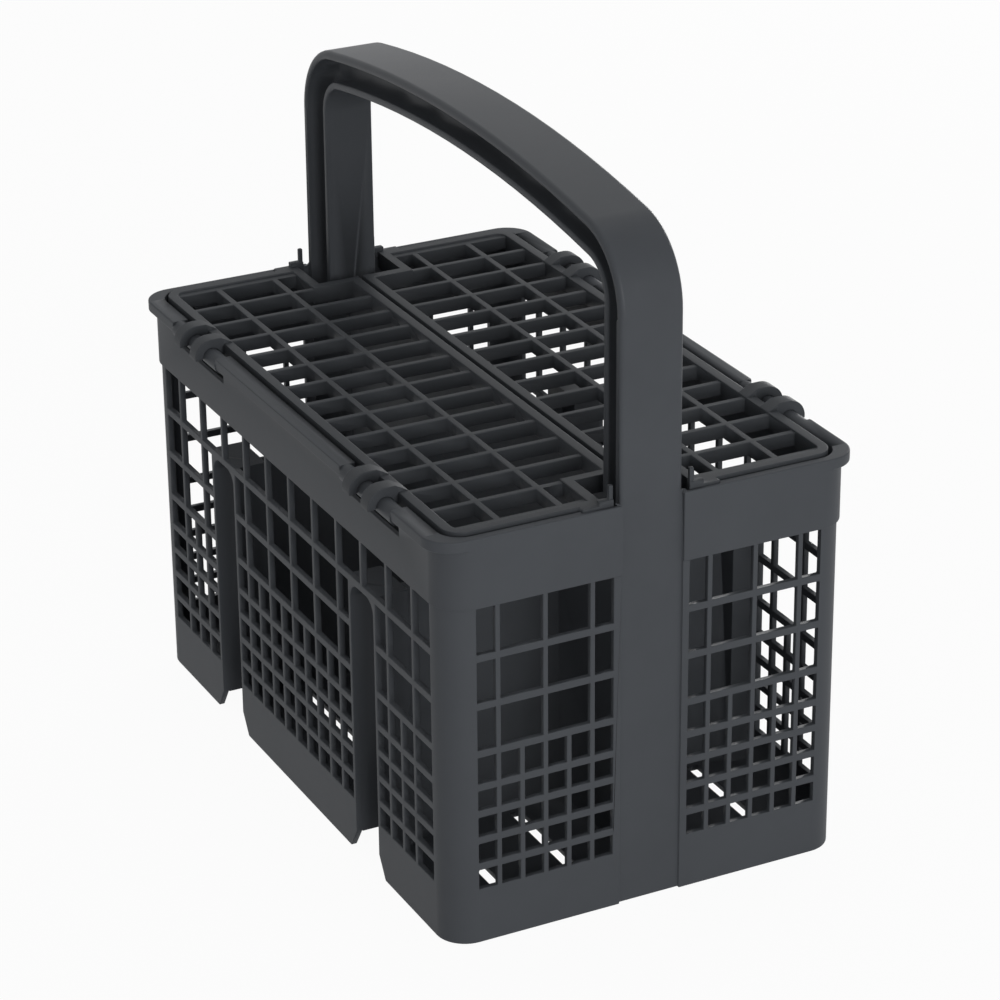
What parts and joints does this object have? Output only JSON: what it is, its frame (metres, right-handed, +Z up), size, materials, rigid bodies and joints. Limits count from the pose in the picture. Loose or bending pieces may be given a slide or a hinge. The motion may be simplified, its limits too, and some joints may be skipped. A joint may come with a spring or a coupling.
{
  "type": "dishwasher cutlery basket",
  "caption": "Rectangular lattice basket with a tall hoop handle and hinged grid lids, standing in a dishwasher rack to hold cutlery upright.",
  "frame": {"origin": "centre of the base, on the plane that the skirt stands on", "axes": "+Z up, +Y along the long walls and the handle, +X across from the left lid to the right lid"},
  "size_m": [0.1538, 0.2322, 0.23],
  "materials": {
    "basket": "fine satin moulding, charcoal grey",
    "lid": "fine satin moulding, charcoal grey"
  },
  "bodies": {
    "basket": {"basket_body": "basket"},
    "left lid": {"left_lid": "lid"},
    "right lid": {"right_lid": "lid"}
  },
  "joints": [
    {"name": "left_lid_hinge", "type": "hinge", "parent": "basket", "child": "left lid", "pos_m": [-0.0709, 0, 0.1356], "axis": [0, -1, 0], "range_deg": [0, 200]},
    {"name": "right_lid_hinge", "type": "hinge", "parent": "basket", "child": "right lid", "pos_m": [0.0709, 0, 0.1356], "axis": [0, 1, 0], "range_deg": [0, 200]}
  ]
}
